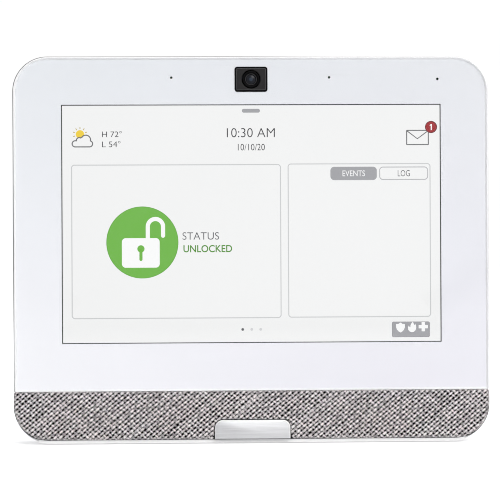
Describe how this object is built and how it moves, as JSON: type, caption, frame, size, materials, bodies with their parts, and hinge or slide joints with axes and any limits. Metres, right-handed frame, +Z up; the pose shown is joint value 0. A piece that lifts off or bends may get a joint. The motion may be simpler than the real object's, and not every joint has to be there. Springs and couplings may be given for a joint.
{
  "type": "alarm keypad panel",
  "caption": "Wall-hung touch-screen alarm panel: white glass front with camera window, fabric speaker band and metal tab below, hung on a hooked wall bracket.",
  "frame": {"origin": "centre of the wall bracket's back face, which lies in the wall plane", "axes": "+Y into the wall, so the glass faces -Y; +X to the right seen from the front; +Z up"},
  "size_m": [0.1891, 0.0219, 0.153],
  "materials": {
    "front_frame": "fine satin moulded texture",
    "rear_housing": "fine satin moulded texture",
    "battery_door": "fine satin moulded texture",
    "wall_bracket": "satin moulded",
    "power_button": "satin",
    "cover_glass": "polished, white printed behind",
    "display_gasket": "foam",
    "lcd_module": "matt polarizer",
    "lcd_chassis": "stamped sheet",
    "display_flex": "amber film",
    "grille_carrier": "moulded",
    "grille_fabric": "woven melange",
    "badge_plate": "brushed, bright chamfer",
    "speaker_gasket_left": "foam",
    "speaker_basket_left": "moulded",
    "speaker_magnet_left": "plated",
    "speaker_lead_left": "insulated wire",
    "speaker_cone_left": "doped paper",
    "speaker_gasket_right": "foam",
    "speaker_basket_right": "moulded",
    "speaker_magnet_right": "plated",
    "speaker_lead_right": "insulated wire",
    "speaker_cone_right": "doped paper",
    "camera_bezel": "satin black",
    "camera_barrel": "anodised black",
    "camera_lens": "coated",
    "camera_board": "solder mask",
    "sensor_board": "solder mask",
    "mic_boot_left": "soft",
    "mic_boot_right": "soft",
    "mic_boot_side": "soft",
    "main_board": "solder mask",
    "board_screw_1": "zinc plated",
    "board_screw_2": "zinc plated",
    "board_screw_3": "zinc plated",
    "board_screw_4": "zinc plated",
    "housing_screw_1": "zinc plated",
    "housing_screw_2": "zinc plated",
    "housing_screw_3": "zinc plated",
    "housing_screw_4": "zinc plated",
    "housing_screw_5": "zinc plated",
    "housing_screw_6": "zinc plated",
    "terminal_screw_left": "zinc plated",
    "terminal_screw_right": "zinc plated",
    "shield_can": "tin plated",
    "radio_module": "tin plated",
    "cell_module": "tin plated",
    "wifi_antenna": "printed copper",
    "antenna_lead": "thin coaxial wire",
    "power_terminal": "moulded",
    "power_switch": "moulded",
    "card_socket": "stamped",
    "memory_card": "moulded",
    "battery_pack": "foil pouch",
    "battery_pad": "foam",
    "battery_header": "moulded",
    "battery_lead": "sleeved wires",
    "tamper_switch": "moulded",
    "tamper_plunger": "moulded",
    "tamper_spring": "spring wire"
  },
  "bodies": {
    "bracket": {"wall_bracket": "wall_bracket"},
    "panel": {"front_frame": "front_frame", "rear_housing": "rear_housing", "cover_glass": "cover_glass", "display_gasket": "display_gasket", "lcd_module": "lcd_module", "lcd_chassis": "lcd_chassis", "display_flex": "display_flex", "grille_carrier": "grille_carrier", "grille_fabric": "grille_fabric", "badge_plate": "badge_plate", "speaker_gasket_left": "speaker_gasket_left", "speaker_basket_left": "speaker_basket_left", "speaker_magnet_left": "speaker_magnet_left", "speaker_lead_left": "speaker_lead_left", "speaker_gasket_right": "speaker_gasket_right", "speaker_basket_right": "speaker_basket_right", "speaker_magnet_right": "speaker_magnet_right", "speaker_lead_right": "speaker_lead_right", "camera_bezel": "camera_bezel", "camera_barrel": "camera_barrel", "camera_lens": "camera_lens", "camera_board": "camera_board", "sensor_board": "sensor_board", "mic_boot_left": "mic_boot_left", "mic_boot_right": "mic_boot_right", "mic_boot_side": "mic_boot_side", "main_board": "main_board", "board_screw_1": "board_screw_1", "board_screw_2": "board_screw_2", "board_screw_3": "board_screw_3", "board_screw_4": "board_screw_4", "housing_screw_1": "housing_screw_1", "housing_screw_2": "housing_screw_2", "housing_screw_3": "housing_screw_3", "housing_screw_4": "housing_screw_4", "housing_screw_5": "housing_screw_5", "housing_screw_6": "housing_screw_6", "terminal_screw_left": "terminal_screw_left", "terminal_screw_right": "terminal_screw_right", "shield_can": "shield_can", "radio_module": "radio_module", "cell_module": "cell_module", "wifi_antenna": "wifi_antenna", "antenna_lead": "antenna_lead", "power_terminal": "power_terminal", "power_switch": "power_switch", "card_socket": "card_socket", "battery_pack": "battery_pack", "battery_pad": "battery_pad", "battery_header": "battery_header", "battery_lead": "battery_lead", "tamper_switch": "tamper_switch", "tamper_spring": "tamper_spring"},
    "door": {"battery_door": "battery_door"},
    "button": {"power_button": "power_button"},
    "card": {"memory_card": "memory_card"},
    "plunger": {"tamper_plunger": "tamper_plunger"},
    "cone_left": {"speaker_cone_left": "speaker_cone_left"},
    "cone_right": {"speaker_cone_right": "speaker_cone_right"}
  },
  "joints": [
    {"name": "panel_lift", "type": "slide", "parent": "bracket", "child": "panel", "axis": [0, 0, 1], "range_m": [0, 0.0056]},
    {"name": "door_slide", "type": "slide", "parent": "panel", "child": "door", "axis": [1, 0, 0], "range_m": [0, 0.0072]},
    {"name": "button_press", "type": "slide", "parent": "panel", "child": "button", "axis": [-1, 0, 0], "range_m": [0, 0.0006], "stiffness_N_per_m": 2500},
    {"name": "card_eject", "type": "slide", "parent": "panel", "child": "card", "axis": [1, 0, 0], "range_m": [0, 0.016]},
    {"name": "tamper_press", "type": "slide", "parent": "panel", "child": "plunger", "axis": [0, -1, 0], "range_m": [0, 0.0016], "stiffness_N_per_m": 400, "deforming": ["tamper_spring"]},
    {"name": "cone_left_travel", "type": "slide", "parent": "panel", "child": "cone_left", "axis": [0, -1, 0], "range_m": [-0.0008, 0.0008], "stiffness_N_per_m": 900},
    {"name": "cone_right_travel", "type": "slide", "parent": "panel", "child": "cone_right", "axis": [0, -1, 0], "range_m": [-0.0008, 0.0008], "stiffness_N_per_m": 900}
  ]
}
